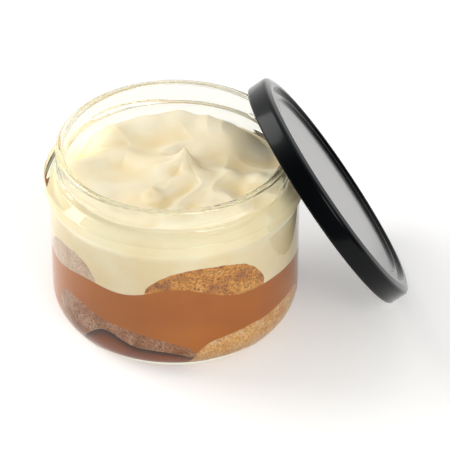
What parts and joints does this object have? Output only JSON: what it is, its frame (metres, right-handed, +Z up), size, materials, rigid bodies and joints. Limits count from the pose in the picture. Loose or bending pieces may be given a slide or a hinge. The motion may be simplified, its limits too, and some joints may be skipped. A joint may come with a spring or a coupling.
{
  "type": "jar of tiramisu",
  "caption": "Low clear glass jar with a twist-off neck, filled with layered coffee and cream dessert, its dark steel lid leaning on the rim.",
  "frame": {"origin": "centre of the jar's flat base, on the surface it stands on", "axes": "+Z up the jar's axis, -Y towards the front, where the layers show best, +X towards the leaning lid"},
  "size_m": [0.1236, 0.0966, 0.0773],
  "materials": {
    "glass": "clear, polished, slight green-yellow edge tint",
    "lid_steel": "glossy black lacquer on tinplate, light reflection on the top",
    "dark_coffee_cream": "soft, coffee soaked cream, dark",
    "biscuit": "soaked sponge finger, open crumb",
    "coffee_cream": "soft, smooth coffee cream",
    "pale_cream": "soft ivory mascarpone cream"
  },
  "bodies": {
    "root": {"jar_glass": "glass", "lid": "lid_steel", "bottom_cream": "dark_coffee_cream", "lower_biscuit_left": "biscuit", "lower_biscuit_right": "biscuit", "lower_biscuit_back": "biscuit", "coffee_cream": "coffee_cream", "upper_biscuit_front": "biscuit", "upper_biscuit_left": "biscuit", "upper_biscuit_back": "biscuit", "pale_cream": "pale_cream"}
  },
  "joints": []
}
